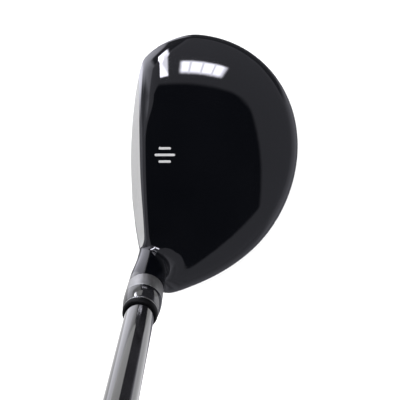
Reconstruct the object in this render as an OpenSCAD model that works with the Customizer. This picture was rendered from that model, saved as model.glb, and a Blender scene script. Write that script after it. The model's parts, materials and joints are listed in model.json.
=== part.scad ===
// Right-handed hybrid golf club at address: face towards -X, toe towards +Y, ground at Z = 0.
// The head is one smooth surface, cut into a cast body, a crown and a face plate, each a closed
// shell of its own. Everything on the shaft line is turned work on one common axis.

/* [Head] */
// Half length of the head's outline along its short diagonal
plan_a = 46.55; // [45.5:0.05:47.5]
// Half length of the head's outline along its long diagonal
plan_b = 52.75; // [51.5:0.05:54]
// Turn of the outline's diagonals about Z
plan_turn = -38.45; // [-41:0.05:-36]
// Growth of the outline at the heel, under the hosel
heel_swell = 0.036; // [0.02:0.002:0.04]
// Trim of the outline between the heel and the back
heel_trim = 0.021; // [0:0.001:0.03]
// Height of the widest line of the head
waterline_z = 15.35; // [15:0.05:15.4]
// Height of the crown
crown_top = 34.1; // [33:0.1:35]
// Drop of the crown from its top to its edge
crown_drop = 15.6; // [14.5:0.1:16.5]
// Rounding between the crown and the upright sides
crown_edge_r = 4; // [3.5:0.1:4.5]
// Depth of the sole under the widest line, a little more than the height so that it ends flat
sole_depth = 15.5; // [15.45:0.05:16]
// Sharpness of the sole's lower corner, 2 is round
sole_power = 2.5; // [2.3:0.1:3]
// Wall of the crown
crown_wall = 0.9; // [0.6:0.1:1.5]
// Wall of the cast body
body_wall = 1.8; // [1.2:0.1:2]
// Thickness of the face plate
face_wall = 2.4; // [1.8:0.1:3]

/* [Face] */
// Loft of the face
loft = 17; // [14:0.5:22]
// Radius of the face from heel to toe
bulge_radius = 215; // [180:5:400]
// Radius of the face from sole to crown
roll_radius = 280; // [200:5:400]
// Foremost point of the face, at the height face_low_z
face_x0 = -17.1; // [-20:0.1:-14]
// Heel to toe place of the foremost point
face_y0 = 5.1; // [0:0.1:10]
// Height at which the foremost point is given
face_low_z = 5; // [3:0.5:7]
// Width of one score line
groove_width = 0.9; // [0.6:0.1:0.9]
// Depth of one score line
groove_depth = 0.4; // [0.2:0.05:0.5]
// Distance from one score line to the next
groove_pitch = 3.3; // [2.8:0.1:3.4]
// Half length of the score lines
groove_half = 17; // [12:0.5:18]

/* [Hosel] */
// Angle of the shaft above the ground
lie = 60; // [57:0.5:62]
// X of the shaft line where it meets the ground
hosel_x = -6; // [-8:0.1:-4]
// Y of the shaft line where it meets the ground
hosel_y = -24.6; // [-27:0.1:-22]
// Outer radius of the hosel
hosel_r = 6.3; // [6:0.05:6.8]
// Slimming of the hosel's front where it runs into the face
hosel_waist = 1.0; // [0:0.1:1.1]
// Distance of the hosel's top from the ground, along the shaft line
hosel_top = 48; // [46:0.5:52]
// Radius of the bore that takes the shaft
bore_r = 4.8; // [4.75:0.01:4.85]
// Depth of that bore
bore_depth = 27; // [20:1:30]
// Rounding between crown and hosel
neck_blend = 6; // [4:0.5:8]

/* [Sole] */
// Radius of the screw-in sole weight
weight_r = 6.4; // [5:0.1:7]
// Height of the sole weight
weight_height = 7; // [5:0.5:8]
// Length of the long alignment line on the crown
mark_length = 7.5; // [5:0.5:10]
// Width of the alignment lines
mark_width = 0.9; // [0.6:0.1:1.2]

/* [Ferrule] */
// Length of the silver collar
ring_length = 7.2; // [5:0.1:8]
// Length of the black collar
collar_length = 6.5; // [5:0.1:10]
// Length of the thin silver ring
trim_length = 0.5; // [0.4:0.1:1]
// Length of the rounded end
cap_length = 2.3; // [1.5:0.1:3]
// Radius of the ferrule at its widest, where the silver collar meets the black one
ferrule_wide_r = 6.5; // [6.3:0.05:6.7]
// Radius of the ferrule at its upper end
ferrule_end_r = 5.85; // [5.4:0.05:5.9]

/* [Shaft] */
// Radius of the shaft's tip
tip_r = 4.7; // [4.6:0.05:4.75]
// Radius of the shaft's butt
butt_r = 7.6; // [7.2:0.1:7.8]
// Wall of the shaft
shaft_wall = 1.3; // [1:0.1:1.6]
// Length of the club from the ground to the end of the grip, along the shaft line
club_length = 1035; // [990:5:1050]

/* [Grip] */
// Length of the rubber grip
grip_length = 267; // [255:1:280]
// Radius of the grip at its mouth
grip_mouth_r = 9.2; // [8.8:0.1:10]
// Radius of the grip at its cap
grip_cap_r = 13.2; // [12.5:0.1:14]
// Radius of the vent hole through the cap
vent_r = 1.6; // [1.5:0.1:2.5]

/* [Hidden] */
$fn = 96;

gloss_black = "#121214";
satin_steel = "#b9b9bb";
dark_steel = "#6d6e70";
rubber_black = "#232323";

// The shaft line, from the ground up.
axis_foot = [hosel_x, hosel_y, 0];
axis_dir = [0, -cos(lie), sin(lie)];

// ---- the head's surface, as a distance that is zero on it and negative inside

function clamp01(t) = max(0, min(1, t));
function ease(a, b, t) = let(k = clamp01((t - a) / (b - a))) k * k * (3 - 2 * k);
function mix(a, b, k) = a + (b - a) * k;

// Intersection and union of two distances with a rounding of radius r between them.
function round_max(a, b, r) = min(-r, max(a, b)) + norm([max(a + r, 0), max(b + r, 0)]);
function round_min(a, b, r) = -round_max(-a, -b, r);

// The outline is a turned ellipse, a little fuller under the hosel and leaner behind it.
heel_turn = -90;
heel_spread = 8;
trim_turn = -64.3;
trim_spread = 17.4;
function bump(t, middle, spread) = exp(-pow((t - middle) / spread, 2));
function outline(p) = let(
    u = (p.x * cos(plan_turn) + p.y * sin(plan_turn)) / plan_a,
    v = (p.y * cos(plan_turn) - p.x * sin(plan_turn)) / plan_b,
    turn = atan2(p.y, p.x),
    swell = heel_trim * bump(turn, trim_turn, trim_spread) - heel_swell * bump(turn, heel_turn, heel_spread)
) [u, v, (u * u + v * v) * (1 + swell)];

// Crown and sole: a low dome over a bowl with upright sides, both on that outline.
function bowl_distance(p) = let(
    o = outline(p),
    u = o[0],
    v = o[1],
    plan = o[2],
    lean = norm([2 * u / plan_a, 2 * v / plan_b]),
    w = max(waterline_z - p.z, 0) / sole_depth,
    steep = norm([lean, sole_power * pow(w, sole_power - 1) / sole_depth]),
    sole = (plan + pow(w, sole_power) - 1) / max(steep, 0.001),
    crown = (p.z - crown_top + crown_drop * plan) / norm([1, crown_drop * lean])
) round_max(sole, crown, crown_edge_r);

// X of the face at a height: loft, bulge and roll.
roll_mid = 14;
function face_x(y, z) = let(h = z - face_low_z)
    face_x0 + h * tan(loft) + pow(y - face_y0, 2) / (2 * bulge_radius)
    + (pow(h - roll_mid, 2) - pow(roll_mid, 2)) / (2 * roll_radius);

// Rounding between the face and the rest: tight on the top line, growing to the toe and the heel.
toe_round = 15.5;
heel_round = 4;
low_round = 4.5;
top_round = 1.8;
toe_top_round = 3.6;
function edge_radius(y, z) = let(
    ends = toe_round * ease(33.6, 53.6, y) + heel_round * ease(-35.6, -53.6, y),
    low = low_round + ends,
    top = top_round + toe_top_round * ease(4.4, 22.4, y) + ends
) mix(low, top, ease(8, 20, z));

// The hosel, a rod with a round lower end, slimmed at the front where it runs into the face.
rod_foot = 16;
function hosel_distance(p) = let(
    q = p - axis_foot,
    s = max(q * axis_dir, rod_foot),
    waist = hosel_waist * ease(46, 28, s) * ease(2, -5, q.x)
) norm(q - s * axis_dir) - hosel_r + waist;

// Rounding between the body and the hosel, tight at the front and wide on the crown.
front_blend = 1.5;
function head_distance(p) = round_min(
    round_max(bowl_distance(p), (face_x(p.y, p.z) - p.x) * cos(loft), edge_radius(p.y, p.z)),
    hosel_distance(p),
    mix(front_blend, neck_blend, ease(-11, -1, p.x)));

// Unit vector square to the surface, from small steps along the three axes.
step = 0.01;
function outward(p) = let(g = [for (e = [[step, 0, 0], [0, step, 0], [0, 0, step]])
    head_distance(p + e) - head_distance(p - e)]) g / norm(g);

// First crossing of the surface along a ray: coarse steps out, then halving.
stride = 3;
halvings = 14;
function leave(c, d, t) = head_distance(c + (t + stride) * d) > 0 ? t : leave(c, d, t + stride);
function halve(c, d, a, b, n) = let(m = (a + b) / 2)
    n == 0 ? m
    : head_distance(c + m * d) > 0 ? halve(c, d, a, m, n - 1)
    : halve(c, d, m, b, n - 1);
function hit(c, d) = let(t = leave(c, d, 0)) c + halve(c, d, t, t + stride, halvings) * d;

// ---- the surface's mesh: a row is a plane across the head, a column is a ray in it from the row's centre.
// Rows step along Y from the toe, turn in a fan round the heel and then climb the hosel.

toe_rows = 38;
fan_rows = 14;
neck_rows = 3;
last_row = toe_rows + fan_rows + neck_rows;
crown_cols = 22;
face_cols = 26;
sole_cols = 20;
cols = crown_cols + face_cols + sole_cols;

toe_x = 6;
body_x = 1;
toe_y = hit([toe_x, 0, waterline_z], [0, 1, 0]).y;
tip_gap = 0.02;
fan_y = -30.4;
fan_z = 42.8;
fan_reach = 16.35;
fan_top = 40;

function row_frame(i) =
    i < toe_rows ? let(
        y = toe_y - tip_gap - (toe_y - fan_y) * (1 - cos(90 * i / toe_rows))
    ) [[mix(toe_x, body_x, ease(45, 20, y)), y, waterline_z], [0, 0, 1]]
    : i < toe_rows + fan_rows ? let(
        t = (i - toe_rows) / fan_rows,
        up = [0, sin(lie * t), cos(lie * t)],
        reach = mix(fan_z - waterline_z, fan_reach, ease(0.3, 1, t)),
        x = mix(body_x, hosel_x, ease(0, 0.8, t))
    ) [[x, fan_y, fan_z] - reach * up, up]
    : let(
        s = mix(fan_top, hosel_top, (i - toe_rows - fan_rows) / neck_rows)
    ) [axis_foot + s * axis_dir, [0, sin(lie), cos(lie)]];

// Heights of the face plate's lower and upper edges.
function face_low(y) = 4.2 + 0.0035 * pow(y - 4, 2);
face_top = 27;
face_end = 1.2;
function face_high(y) = let(
    t = y > -4 ? (y + 4) / 41 : (y + 4) / -36,
    arch = pow(max(0, 1 - pow(t, y > -4 ? 2 : 4)), 0.5)
) max(face_low(y) + face_end, face_top * arch);

// Heights of the face's columns. Where there are score lines, four columns follow each of them.
groove_count = 5;
groove_low = 7;
groove_mid_y = -1;
groove_wall = 0.12;
low_cols = 3;
groove_cols = 4;
high_cols = face_cols - low_cols - groove_count * groove_cols + 1;
groove_steps = [0, groove_wall, groove_width - groove_wall, groove_width];
function groove_of(k) = floor((k - low_cols) / groove_cols);
function groove_level(k, y) =
    k < low_cols ? mix(face_low(y), groove_low, k / low_cols)
    : groove_of(k) >= groove_count ? let(
        lowest = groove_low + (groove_count - 1) * groove_pitch + groove_width
    ) mix(lowest, face_high(y), (k - face_cols + high_cols) / high_cols)
    : groove_low + groove_of(k) * groove_pitch + groove_steps[(k - low_cols) % groove_cols];
function level(k, y) = mix(
    mix(face_low(y), face_high(y), k / face_cols),
    groove_level(k, y),
    ease(groove_half + 8, groove_half + 2, abs(y - groove_mid_y)));

// Angles of a row's rays: rear seam at 0, over the crown, down the face, back under the sole.
neck_top_angle = 150;
neck_low_angle = 215;
function ray_angle(c, x, z) = let(a = atan2(z - c.z, x - c.x)) a < 0 ? a + 360 : a;
function face_angle(c, y, z) = ray_angle(c, face_x(y, z), z);
function row_angles(i) = let(
    c = row_frame(min(i, toe_rows))[0],
    in_neck = clamp01((i - toe_rows) / fan_rows),
    top = mix(face_angle(c, c.y, face_high(c.y)), neck_top_angle, in_neck),
    low = mix(face_angle(c, c.y, face_low(c.y)), neck_low_angle, in_neck)
) [
    for (j = [0 : crown_cols - 1]) mix(0, top, j / crown_cols),
    for (j = [0 : face_cols - 1]) i < toe_rows
        ? face_angle(c, c.y, level(face_cols - j, c.y))
        : mix(top, low, j / face_cols),
    for (j = [0 : sole_cols - 1]) mix(low, 360, j / sole_cols)
];

// Points of the surface, flattened at the ground.
function surface_rows() = [for (i = [0 : last_row]) let(f = row_frame(i)) [
    for (a = row_angles(i)) let(p = hit(f[0], [cos(a), 0, 0] + sin(a) * f[1])) [p.x, p.y, max(p.z, 0)]]];

// Which piece a patch of the surface belongs to.
crown_first_row = 3;
face_fan_rows = 2;
face_toe_y = 35;
plate_front = 3;
plate_back = 4;
plate_toe_y = 22;
plate_heel_y = -20;
function between(a, low, high) = a >= low && a < high;
function owner(i, j, y) = let(on_sole = j - crown_cols - face_cols)
    i < crown_first_row || i >= toe_rows + face_fan_rows ? "body"
    : between(j, crown_cols, crown_cols + face_cols) ? (y < face_toe_y ? "face" : "body")
    : i >= toe_rows ? "body"
    : j < crown_cols ? "crown"
    : !between(on_sole, plate_front, sole_cols - plate_back) ? "body"
    : between(y, plate_heel_y, plate_toe_y) ? "plate" : "body";
function in_pad(i, j, y) = between(j, cols - 4, cols - 1) && between(y, plate_heel_y, plate_toe_y);
function in_melt(i, j, y) = let(on_sole = j - crown_cols - face_cols)
    between(on_sole, 1, 4) && between(y, 24, 36);

// A point under the surface. It stays off the tube that the neck closes round.
tube_wall = 0.4;
tube_r = bore_r + tube_wall;
tube_foot = hosel_top - bore_depth - 3;
tube_gap = 0.08;
function under(p, depth) = depth == 0 ? p : let(
    q = p - depth * outward(p),
    s = (q - axis_foot) * axis_dir,
    a = axis_foot + s * axis_dir,
    off = norm(q - a),
    clear_r = tube_r + tube_gap
) s > tube_foot && off < clear_r ? a + (q - a) * clear_r / off : q;

// Middle of the box round some points.
function middle(points) = [for (k = [0 : 2]) let(v = [for (p = points) p[k]]) (min(v) + max(v)) / 2];

// A closed shell between two depths under the surface, over the patches where own[i][j] is true.
// Its toe tip, where the rows begin, is closed with a fan.
module shell(own, rows, near, far) {
    count = (last_row + 1) * cols;
    outer = [for (row = rows) for (p = row) under(p, near)];
    inner = [for (row = rows) for (p = row) under(p, far)];
    tip = 2 * count;
    capped = own[0][0];
    walls = [for (i = [0 : last_row - 1], j = [0 : cols - 1]) if (own[i][j]) let(
        k = (j + 1) % cols,
        a = i * cols + j,
        b = i * cols + k,
        c = (i + 1) * cols + k,
        d = (i + 1) * cols + j
    ) each [
        [a, c, b], [a, d, c],
        [a + count, b + count, c + count], [a + count, c + count, d + count],
        if (i > 0 && !own[i - 1][j]) each [[a, b, b + count], [a, b + count, a + count]],
        if (i == last_row - 1 || !own[i + 1][j]) each [[d, d + count, c + count], [d, c + count, c]],
        if (!own[i][(j + cols - 1) % cols]) each [[a, a + count, d + count], [a, d + count, d]],
        if (!own[i][k]) each [[b, c, c + count], [b, c + count, b + count]]
    ]];
    ends = [for (j = [0 : cols - 1]) let(k = (j + 1) % cols) each [
        [tip, j, k], [tip + 1, k + count, j + count]]];
    first = [for (j = [0 : cols - 1]) outer[j]];
    first_inner = [for (j = [0 : cols - 1]) inner[j]];
    polyhedron(
        points = concat(outer, inner, [middle(first), middle(first_inner)]),
        faces = concat(walls, capped ? ends : []));
}

module head_piece(name, wall) {
    rows = surface_rows();
    own = [for (i = [0 : last_row - 1]) [for (j = [0 : cols - 1]) owner(i, j, rows[i][j].y) == name]];
    shell(own, rows, 0, wall);
}

// ---- pieces of the head

module sole_body() {
    color(gloss_black) head_piece("body", body_wall);
}

module crown_shell() {
    color(gloss_black) head_piece("crown", crown_wall);
}

// The face plate, with its score lines pressed in.
module face_plate() {
    rows = surface_rows();
    own = [for (i = [0 : last_row - 1]) [for (j = [0 : cols - 1]) owner(i, j, rows[i][j].y) == "face"]];
    scored = [for (i = [0 : last_row]) [for (j = [0 : cols - 1]) let(
        p = rows[i][j],
        k = face_cols - (j - crown_cols),
        part = (k - low_cols) % groove_cols,
        bottom = between(groove_of(k), 0, groove_count) && (part == 1 || part == 2)
    ) bottom && abs(p.y - groove_mid_y) < groove_half ? p - groove_depth * outward(p) : p]];
    color(satin_steel) shell(own, scored, 0, face_wall);
}

// Height of the crown over a place.
function crown_z(x, y) = hit([x, y, waterline_z], [0, 0, 1]).z;

// Alignment aid: one long line square to the face between two short ones.
mark_x = -0.5;
mark_y = -0.6;
mark_gap = 2.4;
mark_height = 0.2;
module crown_mark() {
    color(satin_steel)
        for (k = [-1 : 1]) let(
            at = [mark_x, mark_y + k * mark_gap, crown_z(mark_x, mark_y + k * mark_gap)],
            up = outward(at),
            long = k == 0 ? mark_length : mark_length * 0.6
        ) translate(at)
            rotate([-asin(up.y), asin(up.x), 0])
                linear_extrude(mark_height) bar(long, mark_width);
}

// A straight bar with round ends.
module bar(long, wide) {
    square([long - wide, wide], center = true);
    for (x = [-1, 1]) translate([x * (long - wide) / 2, 0]) circle(d = wide);
}

// Place of the sole weight, and the frame whose +Z looks out of the sole there.
weight_at = [14, 2];
weight_gap = 0.1;
module at_weight() {
    foot = hit([weight_at.x, weight_at.y, waterline_z], [0, 0, -1]);
    out = outward(foot);
    translate(foot) rotate([0, 0, atan2(out.y, out.x)]) rotate([0, acos(out.z), 0]) children();
}

module sole_plate() {
    color(dark_steel)
        difference() {
            head_piece("plate", body_wall);
            at_weight() translate([0, 0, -weight_height])
                cylinder(r = weight_r + weight_gap, h = 2 * weight_height);
        }
}

// Screw-in weight with a six-sided key socket, a little under flush.
weight_sink = 0.35;
key_flat = 4;
key_depth = 4;
module sole_weight() {
    color(satin_steel) at_weight()
        difference() {
            translate([0, 0, -weight_height]) cylinder(r = weight_r, h = weight_height - weight_sink);
            translate([0, 0, -key_depth]) cylinder(d = key_flat / cos(30), h = key_depth + 1, $fn = 6);
        }
}

// Ring inside the sole plate that takes the weight.
seat_wall = 2;
module weight_seat() {
    color(dark_steel) at_weight()
        translate([0, 0, -weight_height])
            difference() {
                cylinder(r = weight_r + seat_wall, h = weight_height - body_wall - 1);
                translate([0, 0, -1]) cylinder(r = weight_r + weight_gap / 2, h = weight_height + 2);
            }
}

// Heavy pad along the back of the sole, inside.
pad_height = 4.5;
module weight_pad() {
    rows = surface_rows();
    own = [for (i = [0 : last_row - 1]) [for (j = [0 : cols - 1]) in_pad(i, j, rows[i][j].y)]];
    color("#55504a") shell(own, rows, body_wall, body_wall + pad_height);
}

// Adhesive that holds loose particles, on the floor of the toe.
melt_height = 1.8;
module hot_melt() {
    rows = surface_rows();
    own = [for (i = [0 : last_row - 1]) [for (j = [0 : cols - 1]) in_melt(i, j, rows[i][j].y)]];
    color("#d8c58e") shell(own, rows, body_wall, body_wall + melt_height);
}

// ---- pieces on the shaft line, each turned about it

// Stands children on the shaft line at distance s from the ground.
module on_line(s) {
    translate(axis_foot) rotate([90 - lie, 0, 0]) translate([0, 0, s]) children();
}

module tube(r_out, r_in, h) {
    rotate_extrude() translate([r_in, 0]) square([r_out - r_in, h]);
}

bore_foot = hosel_top - bore_depth;
module hosel_tube() {
    color(dark_steel) on_line(bore_foot) tube(tube_r, bore_r, bore_depth);
}

// Disc that the shaft's tip stops against.
stop_height = 1.5;
module hosel_stop() {
    color(dark_steel) on_line(bore_foot - stop_height) cylinder(r = tube_r, h = stop_height);
}

// Shaft radius at distance s: a straight tip, a straight neck, then an even taper to the butt.
neck_r = 4.85;
neck_step = 1;
taper_from = 200;
butt_at = club_length - 4;
shaft_foot = bore_foot;
function shaft_r(s) = s <= cap_foot ? tip_r
    : s < cap_foot + neck_step ? mix(tip_r, neck_r, (s - cap_foot) / neck_step)
    : s < taper_from ? neck_r
    : mix(neck_r, butt_r, (s - taper_from) / (butt_at - taper_from));

// Ferrule, four turned pieces one above the other.
trim_r = 5.9;
ring_foot = hosel_top;
collar_foot = ring_foot + ring_length;
trim_foot = collar_foot + collar_length;
cap_foot = trim_foot + trim_length;
ferrule_bore = 4.72;
module turned(s, profile) {
    on_line(s) rotate_extrude() polygon(profile);
}

module ferrule_ring() {
    edge = 0.2;
    color(satin_steel) turned(ring_foot, [
        [ferrule_bore, 0], [hosel_r - edge, 0], [hosel_r, edge],
        [ferrule_wide_r, ring_length - edge], [ferrule_wide_r - edge, ring_length],
        [ferrule_bore, ring_length]]);
}

// A slim barrel: straight at first, then drawn in.
module ferrule_collar() {
    color(gloss_black) turned(collar_foot, [
        [ferrule_bore, 0],
        for (k = [0 : 8]) let(t = k / 8) [mix(ferrule_wide_r, trim_r, pow(t, 2.5)), t * collar_length],
        [ferrule_bore, collar_length]]);
}

module ferrule_trim() {
    color(satin_steel) turned(trim_foot, [
        [ferrule_bore, 0], [trim_r, 0], [trim_r, trim_length], [ferrule_bore, trim_length]]);
}

module ferrule_cap() {
    bore = neck_r + 0.02;
    color(gloss_black) turned(cap_foot, [
        [bore, 0], [ferrule_end_r, 0],
        for (a = [0 : 15 : 90]) [
            bore + 0.1 + (ferrule_end_r - bore - 0.1) * cos(a), cap_length * (0.3 + 0.7 * sin(a))],
        [bore, cap_length]]);
}

module shaft_tube() {
    stations = [shaft_foot, cap_foot, cap_foot + neck_step, taper_from, butt_at];
    color(gloss_black) turned(0, concat(
        [for (s = stations) [shaft_r(s), s]],
        [for (k = [len(stations) - 1 : -1 : 0]) [shaft_r(stations[k]) - shaft_wall, stations[k]]]));
}

// Adhesive between the shaft's tip and the hosel bore.
module shaft_epoxy() {
    color("#c9b98a") on_line(bore_foot) tube(bore_r - 0.005, tip_r + 0.005, bore_depth);
}

plug_length = 12;
module tip_plug() {
    color("#c8a35c") on_line(shaft_foot + 0.5) cylinder(r = tip_r - shaft_wall - 0.05, h = plug_length);
}

tape_t = 0.3;
grip_foot = club_length - grip_length;
module grip_tape() {
    top = butt_at - 0.5;
    foot = grip_foot + 3;
    color("#cfcabb") turned(0, [
        [shaft_r(foot) + 0.01, foot], [shaft_r(foot) + tape_t, foot],
        [shaft_r(top) + tape_t, top], [shaft_r(top) + 0.01, top]]);
}

// Rubber grip: a thin mouth, then a straight taper to the cap.
function grip_r(s) = mix(grip_mouth_r, grip_cap_r, pow((s - grip_foot) / grip_length, 1.15));
module grip_sleeve() {
    stations = [for (k = [0 : 8]) mix(grip_foot, butt_at, k / 8)];
    gap = tape_t + 0.02;
    lip = 0.8;
    color(rubber_black) turned(0, concat(
        [[shaft_r(grip_foot) + gap, grip_foot], [grip_mouth_r - lip, grip_foot]],
        [[grip_mouth_r - 0.2, grip_foot + lip]],
        [for (k = [1 : 8]) [grip_r(stations[k]), stations[k]]],
        [[shaft_r(butt_at) + gap, butt_at]]));
}

module grip_cap() {
    tall = club_length - butt_at;
    rim = 1.8;
    r = grip_r(butt_at);
    color(rubber_black) turned(butt_at, [
        [vent_r, 0], [r, 0], [r, tall - rim],
        for (a = [15 : 15 : 90]) [r - rim + rim * cos(a), tall - rim + rim * sin(a)],
        [vent_r, tall]]);
}

sole_body();
crown_shell();
face_plate();
crown_mark();
sole_plate();
sole_weight();
weight_seat();
weight_pad();
hot_melt();
hosel_tube();
hosel_stop();
ferrule_ring();
ferrule_collar();
ferrule_trim();
ferrule_cap();
shaft_tube();
shaft_epoxy();
tip_plug();
grip_tape();
grip_sleeve();
grip_cap();
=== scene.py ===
import json
import math

import bpy
import numpy as np
from mathutils import Matrix, Vector


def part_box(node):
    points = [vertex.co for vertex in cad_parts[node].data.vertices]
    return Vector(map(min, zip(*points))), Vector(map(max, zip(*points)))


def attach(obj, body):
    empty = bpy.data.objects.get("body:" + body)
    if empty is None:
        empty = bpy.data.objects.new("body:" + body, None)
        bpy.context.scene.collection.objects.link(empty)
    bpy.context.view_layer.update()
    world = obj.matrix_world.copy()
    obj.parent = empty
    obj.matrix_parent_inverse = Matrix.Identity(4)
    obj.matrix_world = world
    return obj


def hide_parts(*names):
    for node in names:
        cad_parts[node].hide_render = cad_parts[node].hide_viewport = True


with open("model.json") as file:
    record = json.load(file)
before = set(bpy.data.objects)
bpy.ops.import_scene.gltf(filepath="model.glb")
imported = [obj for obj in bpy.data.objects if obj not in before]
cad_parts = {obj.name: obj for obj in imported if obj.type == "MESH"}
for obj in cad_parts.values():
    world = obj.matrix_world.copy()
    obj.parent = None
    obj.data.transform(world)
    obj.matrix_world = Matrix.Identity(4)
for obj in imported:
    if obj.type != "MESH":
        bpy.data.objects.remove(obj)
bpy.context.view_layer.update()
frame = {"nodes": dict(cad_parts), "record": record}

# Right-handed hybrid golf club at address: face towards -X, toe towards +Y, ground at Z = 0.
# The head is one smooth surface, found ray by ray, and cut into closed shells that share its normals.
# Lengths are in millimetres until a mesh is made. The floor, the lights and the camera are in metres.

MM = 0.001
record = frame["record"]

# ---- driving dimensions of the head

PLAN_A = 46.55
PLAN_B = 52.75
PLAN_TURN = math.radians(-38.45)
HEEL_SWELL = 0.036
HEEL_TURN = math.radians(-90)
HEEL_SPREAD = math.radians(8)
HEEL_TRIM = 0.021
TRIM_TURN = math.radians(-64.3)
TRIM_SPREAD = math.radians(17.4)
WATERLINE = 15.35
CROWN_TOP = 34.1
CROWN_DROP = 15.6
CROWN_EDGE_R = 4
SOLE_DEPTH = 15.5
SOLE_POWER = 2.5
CROWN_WALL = 0.9
BODY_WALL = 1.8
FACE_WALL = 2.4

LOFT = math.radians(17)
BULGE_RADIUS = 215
ROLL_RADIUS = 280
FACE_X0 = -17.1
FACE_Y0 = 5.1
FACE_LOW_Z = 5
ROLL_MID = 14

# The face plate's lower edge sags a little from its middle, and its upper edge is an arch about ARCH_Y.
FACE_FOOT = 4.2
FACE_MID_Y = 4
FACE_RISE = 0.0035
FACE_TOP = 27
FACE_TIP = 1.2
ARCH_Y = -4
ARCH_TO_TOE = 41
ARCH_TO_HEEL = 36

HOSEL_R = 6.3
HOSEL_WAIST = 1.0
HOSEL_TOP = 48
ROD_FOOT = 16
BORE_R = 4.8
BORE_DEPTH = 27
FRONT_BLEND = 1.5
NECK_BLEND = 6

TOE_ROUND = 15.5
HEEL_ROUND = 4
LOW_ROUND = 4.5
TOP_ROUND = 1.8
TOE_TOP_ROUND = 3.6

GROOVES = 5
GROOVE_LOW = 7
GROOVE_PITCH = 3.3
GROOVE_WIDTH = 0.9
GROOVE_DEPTH = 0.4
GROOVE_HALF = 17
GROOVE_MID_Y = -1

WEIGHT_R = 6.4
WEIGHT_GAP = 0.1

# ---- the shaft line, from the vent bore that the record states

vent = next(m for m in record["mounts"] if m["name"] == "grip_vent")
AXIS = np.array(vent["axis"])
AXIS = AXIS / np.linalg.norm(AXIS)
VENT_AT = np.array(vent["pos_m"]) / MM
VENT_R = vent["dims"]["r_mm"]
FOOT = VENT_AT - AXIS * VENT_AT[2] / AXIS[2]
LIE = math.asin(AXIS[2])


def span_on_line(node):
    """Lowest and highest place of a round CAD piece on the shaft line, from its mesh."""
    co = np.array([v.co for v in frame["nodes"][node].data.vertices]) / MM
    s = (co - FOOT) @ AXIS
    return float(s.min()), float(s.max())


# Local frame on the shaft line: Z runs up the shaft from the ground, X stays level.
SHAFT_FRAME = Matrix.Translation(Vector(FOOT * MM)) @ Matrix.Rotation(math.pi / 2 - LIE, 4, "X")

# ---- small helpers


def ease(a, b, t):
    k = np.clip((t - a) / (b - a), 0, 1)
    return k * k * (3 - 2 * k)


def mix(a, b, k):
    return a + (b - a) * k


def unit(v):
    return v / np.maximum(np.linalg.norm(v, axis=-1, keepdims=True), 1e-12)


def round_max(a, b, r):
    """Intersection of two distances with a rounding of radius r."""
    return np.minimum(-r, np.maximum(a, b)) + np.hypot(np.maximum(a + r, 0), np.maximum(b + r, 0))


# ---- the head's surface, as a distance that is zero on it and negative inside


def outline(x, y):
    """A turned ellipse, a little fuller under the hosel and leaner behind it. The last value is 1 on it."""
    u = (x * math.cos(PLAN_TURN) + y * math.sin(PLAN_TURN)) / PLAN_A
    v = (y * math.cos(PLAN_TURN) - x * math.sin(PLAN_TURN)) / PLAN_B
    turn = np.arctan2(y, x)
    swell = HEEL_SWELL * np.exp(-(((turn - HEEL_TURN) / HEEL_SPREAD) ** 2))
    trim = HEEL_TRIM * np.exp(-(((turn - TRIM_TURN) / TRIM_SPREAD) ** 2))
    return u, v, (u * u + v * v) * (1 + trim - swell)


def bowl_distance(x, y, z):
    """Crown and sole: a low dome over a bowl with upright sides, both on that outline."""
    u, v, plan = outline(x, y)
    lean = np.hypot(2 * u / PLAN_A, 2 * v / PLAN_B)
    w = np.maximum(WATERLINE - z, 0) / SOLE_DEPTH
    steep = np.hypot(lean, SOLE_POWER * w ** (SOLE_POWER - 1) / SOLE_DEPTH)
    sole = (plan + w**SOLE_POWER - 1) / np.maximum(steep, 0.001)
    crown = (z - CROWN_TOP + CROWN_DROP * plan) / np.hypot(1, CROWN_DROP * lean)
    return round_max(sole, crown, CROWN_EDGE_R)


def face_x(y, z):
    """X of the face at a height: loft, bulge and roll."""
    h = z - FACE_LOW_Z
    bulge = (y - FACE_Y0) ** 2 / (2 * BULGE_RADIUS)
    roll = ((h - ROLL_MID) ** 2 - ROLL_MID**2) / (2 * ROLL_RADIUS)
    return FACE_X0 + h * math.tan(LOFT) + bulge + roll


def edge_radius(y, z):
    """Rounding between the face and the rest: tight on the top line, growing to the toe and the heel."""
    ends = TOE_ROUND * ease(33.6, 53.6, y) + HEEL_ROUND * ease(-35.6, -53.6, y)
    low = LOW_ROUND + ends
    top = TOP_ROUND + TOE_TOP_ROUND * ease(4.4, 22.4, y) + ends
    return mix(low, top, ease(8, 20, z))


def hosel_distance(p):
    """The hosel, a rod with a round lower end, slimmed at the front where it runs into the face."""
    q = p - FOOT
    s = np.maximum(q @ AXIS, ROD_FOOT)
    waist = HOSEL_WAIST * ease(46, 28, s) * ease(2, -5, q[..., 0])
    return np.linalg.norm(q - s[..., None] * AXIS, axis=-1) - HOSEL_R + waist


def head_distance(p):
    x, y, z = p[..., 0], p[..., 1], p[..., 2]
    face = (face_x(y, z) - x) * math.cos(LOFT)
    body = round_max(bowl_distance(x, y, z), face, edge_radius(y, z))
    blend = mix(FRONT_BLEND, NECK_BLEND, ease(-11, -1, x))
    return -round_max(-body, -hosel_distance(p), blend)


def outward(p, step=0.01):
    """Unit vectors square to the surface."""
    steps = np.eye(3) * step
    return unit(np.stack([head_distance(p + e) - head_distance(p - e) for e in steps], axis=-1))


def hit(start, way, stride=3.0, halvings=30):
    """First crossing of the surface along each ray: coarse steps out, then halving."""
    near = np.zeros(way.shape[:-1])
    moving = np.ones(near.shape, bool)
    while moving.any():
        ahead = head_distance(start + (near + stride)[..., None] * way)
        moving &= ahead < 0
        near = np.where(moving, near + stride, near)
    far = near + stride
    for _ in range(halvings):
        middle = (near + far) / 2
        outside = head_distance(start + middle[..., None] * way) > 0
        far = np.where(outside, middle, far)
        near = np.where(outside, near, middle)
    return start + near[..., None] * way


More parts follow.
